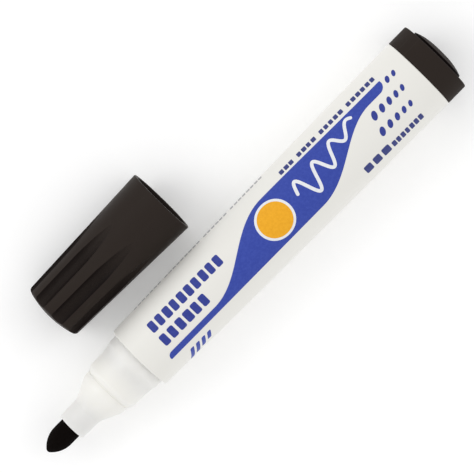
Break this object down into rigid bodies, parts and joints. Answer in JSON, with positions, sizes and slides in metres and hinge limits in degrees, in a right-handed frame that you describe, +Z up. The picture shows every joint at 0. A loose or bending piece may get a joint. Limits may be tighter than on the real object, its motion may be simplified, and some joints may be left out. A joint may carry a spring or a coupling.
{
  "type": "whiteboard marker",
  "caption": "Bullet-tip whiteboard marker with a bowed barrel, stepped nose and end plug, its fluted cap taken off and lying alongside.",
  "frame": {"origin": "on the surface the marker lies on, under the middle of the whole", "axes": "+Z up, +X along the marker from the writing tip to the end plug, the cap on the +Y side"},
  "size_m": [0.1282, 0.0398, 0.0195],
  "materials": {
    "barrel_plastic": "warm white moulded plastic, semi-gloss, printed in blue",
    "nose_plastic": "natural translucent white moulded plastic, satin",
    "nib_felt": "dense felt soaked in black ink",
    "reservoir_fibre": "bundled polyester fibre soaked in black ink",
    "reservoir_film": "clear wrapping film",
    "dark_plastic": "near-black warm grey moulded plastic, semi-gloss",
    "seal_plastic": "soft dark polyethylene"
  },
  "bodies": {
    "marker": {"barrel": "barrel_plastic", "nose_section": "nose_plastic", "writing_nib": "nib_felt", "ink_reservoir": "reservoir_fibre", "reservoir_film": "reservoir_film", "end_plug": "dark_plastic"},
    "cap": {"cap_shell": "dark_plastic", "cap_inner_seal": "seal_plastic"}
  },
  "joints": [
    {"name": "cap_slide", "type": "slide", "parent": "marker", "child": "cap", "axis": [-1, 0, 0], "range_m": [0, 0.065]}
  ]
}
